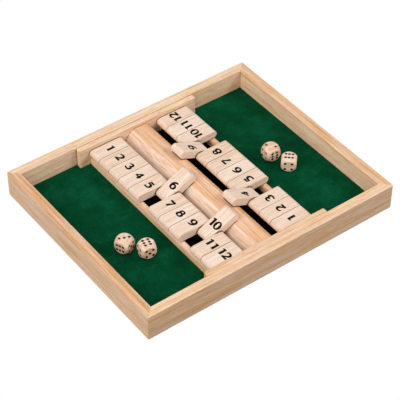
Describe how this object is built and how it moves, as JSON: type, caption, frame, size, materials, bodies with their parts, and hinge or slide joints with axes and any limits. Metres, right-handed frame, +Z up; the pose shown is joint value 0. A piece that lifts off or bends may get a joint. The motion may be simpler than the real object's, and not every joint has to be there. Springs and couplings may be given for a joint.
{
  "type": "shut the box game",
  "caption": "Two-sided wooden shut the box tray: facing rows of hinged number tiles beside a rounded centre bar, felt throwing fields and loose dice.",
  "frame": {"origin": "centre of the tray on the surface it stands on", "axes": "+X across the two tile rows, from the left field to the right one; +Y along the rows and their rods, from the front rail to the back rail; +Z up"},
  "size_m": [0.34, 0.279, 0.0404],
  "materials": {
    "rubberwood": "clear satin lacquer over straight-grained rubberwood",
    "maple_tile": "fine-sanded pale wood with a thin matt lacquer",
    "dice_wood": "fine-sanded pale wood with painted pips",
    "plywood": "raw sanded birch plywood",
    "green_felt": "short brushed felt, glued down",
    "black_lining": "thin black felt, glued down",
    "rod_steel": "drawn bright"
  },
  "bodies": {
    "tray": {"rail_left": "rubberwood", "rail_right": "rubberwood", "rail_front": "rubberwood", "rail_back": "rubberwood", "base_panel": "plywood", "felt_left": "green_felt", "felt_right": "green_felt", "well_lining_left": "black_lining", "well_lining_right": "black_lining", "end_strip_front": "rubberwood", "end_strip_back": "rubberwood", "tile_rest_left": "rubberwood", "tile_rest_right": "rubberwood", "centre_bar": "rubberwood", "rod_left": "rod_steel", "rod_right": "rod_steel"},
    "tile_left_1": {"tile_left_1": "maple_tile"},
    "tile_left_2": {"tile_left_2": "maple_tile"},
    "tile_left_3": {"tile_left_3": "maple_tile"},
    "tile_left_4": {"tile_left_4": "maple_tile"},
    "tile_left_5": {"tile_left_5": "maple_tile"},
    "tile_left_6": {"tile_left_6": "maple_tile"},
    "tile_left_7": {"tile_left_7": "maple_tile"},
    "tile_left_8": {"tile_left_8": "maple_tile"},
    "tile_left_9": {"tile_left_9": "maple_tile"},
    "tile_left_10": {"tile_left_10": "maple_tile"},
    "tile_left_11": {"tile_left_11": "maple_tile"},
    "tile_left_12": {"tile_left_12": "maple_tile"},
    "tile_right_1": {"tile_right_1": "maple_tile"},
    "tile_right_2": {"tile_right_2": "maple_tile"},
    "tile_right_3": {"tile_right_3": "maple_tile"},
    "tile_right_4": {"tile_right_4": "maple_tile"},
    "tile_right_5": {"tile_right_5": "maple_tile"},
    "tile_right_6": {"tile_right_6": "maple_tile"},
    "tile_right_7": {"tile_right_7": "maple_tile"},
    "tile_right_8": {"tile_right_8": "maple_tile"},
    "tile_right_9": {"tile_right_9": "maple_tile"},
    "tile_right_10": {"tile_right_10": "maple_tile"},
    "tile_right_11": {"tile_right_11": "maple_tile"},
    "tile_right_12": {"tile_right_12": "maple_tile"},
    "die_1": {"die_1": "dice_wood"},
    "die_2": {"die_2": "dice_wood"},
    "die_3": {"die_3": "dice_wood"},
    "die_4": {"die_4": "dice_wood"}
  },
  "joints": [
    {"name": "flip_left_1", "type": "hinge", "parent": "tray", "child": "tile_left_1", "pos_m": [-0.03585, 0.10945, 0.02325], "axis": [0, 1, 0], "range_deg": [0, 156.17]},
    {"name": "flip_left_2", "type": "hinge", "parent": "tray", "child": "tile_left_2", "pos_m": [-0.03585, 0.0898, 0.02325], "axis": [0, 1, 0], "range_deg": [0, 156.17]},
    {"name": "flip_left_3", "type": "hinge", "parent": "tray", "child": "tile_left_3", "pos_m": [-0.03585, 0.07015, 0.02325], "axis": [0, 1, 0], "range_deg": [0, 156.17]},
    {"name": "flip_left_4", "type": "hinge", "parent": "tray", "child": "tile_left_4", "pos_m": [-0.03585, 0.0505, 0.02325], "axis": [0, 1, 0], "range_deg": [0, 156.17]},
    {"name": "flip_left_5", "type": "hinge", "parent": "tray", "child": "tile_left_5", "pos_m": [-0.03585, 0.03085, 0.02325], "axis": [0, 1, 0], "range_deg": [0, 156.17]},
    {"name": "flip_left_6", "type": "hinge", "parent": "tray", "child": "tile_left_6", "pos_m": [-0.03585, 0.0112, 0.02325], "axis": [0, 1, 0], "range_deg": [-156.17, 0]},
    {"name": "flip_left_7", "type": "hinge", "parent": "tray", "child": "tile_left_7", "pos_m": [-0.03585, -0.00845, 0.02325], "axis": [0, 1, 0], "range_deg": [0, 156.17]},
    {"name": "flip_left_8", "type": "hinge", "parent": "tray", "child": "tile_left_8", "pos_m": [-0.03585, -0.0281, 0.02325], "axis": [0, 1, 0], "range_deg": [0, 156.17]},
    {"name": "flip_left_9", "type": "hinge", "parent": "tray", "child": "tile_left_9", "pos_m": [-0.03585, -0.04775, 0.02325], "axis": [0, 1, 0], "range_deg": [0, 156.17]},
    {"name": "flip_left_10", "type": "hinge", "parent": "tray", "child": "tile_left_10", "pos_m": [-0.03585, -0.0674, 0.02325], "axis": [0, 1, 0], "range_deg": [-156.17, 0]},
    {"name": "flip_left_11", "type": "hinge", "parent": "tray", "child": "tile_left_11", "pos_m": [-0.03585, -0.08705, 0.02325], "axis": [0, 1, 0], "range_deg": [0, 156.17]},
    {"name": "flip_left_12", "type": "hinge", "parent": "tray", "child": "tile_left_12", "pos_m": [-0.03585, -0.1067, 0.02325], "axis": [0, 1, 0], "range_deg": [0, 156.17]},
    {"name": "flip_right_1", "type": "hinge", "parent": "tray", "child": "tile_right_1", "pos_m": [0.03585, -0.1067, 0.02325], "axis": [0, -1, 0], "range_deg": [0, 156.17]},
    {"name": "flip_right_2", "type": "hinge", "parent": "tray", "child": "tile_right_2", "pos_m": [0.03585, -0.08705, 0.02325], "axis": [0, -1, 0], "range_deg": [0, 156.17]},
    {"name": "flip_right_3", "type": "hinge", "parent": "tray", "child": "tile_right_3", "pos_m": [0.03585, -0.0674, 0.02325], "axis": [0, -1, 0], "range_deg": [0, 156.17]},
    {"name": "flip_right_4", "type": "hinge", "parent": "tray", "child": "tile_right_4", "pos_m": [0.03585, -0.04775, 0.02325], "axis": [0, -1, 0], "range_deg": [-156.17, 0]},
    {"name": "flip_right_5", "type": "hinge", "parent": "tray", "child": "tile_right_5", "pos_m": [0.03585, -0.0281, 0.02325], "axis": [0, -1, 0], "range_deg": [0, 156.17]},
    {"name": "flip_right_6", "type": "hinge", "parent": "tray", "child": "tile_right_6", "pos_m": [0.03585, -0.00845, 0.02325], "axis": [0, -1, 0], "range_deg": [0, 156.17]},
    {"name": "flip_right_7", "type": "hinge", "parent": "tray", "child": "tile_right_7", "pos_m": [0.03585, 0.0112, 0.02325], "axis": [0, -1, 0], "range_deg": [0, 156.17]},
    {"name": "flip_right_8", "type": "hinge", "parent": "tray", "child": "tile_right_8", "pos_m": [0.03585, 0.03085, 0.02325], "axis": [0, -1, 0], "range_deg": [0, 156.17]},
    {"name": "flip_right_9", "type": "hinge", "parent": "tray", "child": "tile_right_9", "pos_m": [0.03585, 0.0505, 0.02325], "axis": [0, -1, 0], "range_deg": [-156.17, 0]},
    {"name": "flip_right_10", "type": "hinge", "parent": "tray", "child": "tile_right_10", "pos_m": [0.03585, 0.07015, 0.02325], "axis": [0, -1, 0], "range_deg": [0, 156.17]},
    {"name": "flip_right_11", "type": "hinge", "parent": "tray", "child": "tile_right_11", "pos_m": [0.03585, 0.0898, 0.02325], "axis": [0, -1, 0], "range_deg": [0, 156.17]},
    {"name": "flip_right_12", "type": "hinge", "parent": "tray", "child": "tile_right_12", "pos_m": [0.03585, 0.10945, 0.02325], "axis": [0, -1, 0], "range_deg": [0, 156.17]},
    {"name": "lift_die_1", "type": "slide", "parent": "tray", "child": "die_1", "axis": [0, 0, 1], "range_m": [0, 0.06]},
    {"name": "lift_die_2", "type": "slide", "parent": "tray", "child": "die_2", "axis": [0, 0, 1], "range_m": [0, 0.06]},
    {"name": "lift_die_3", "type": "slide", "parent": "tray", "child": "die_3", "axis": [0, 0, 1], "range_m": [0, 0.06]},
    {"name": "lift_die_4", "type": "slide", "parent": "tray", "child": "die_4", "axis": [0, 0, 1], "range_m": [0, 0.06]}
  ]
}
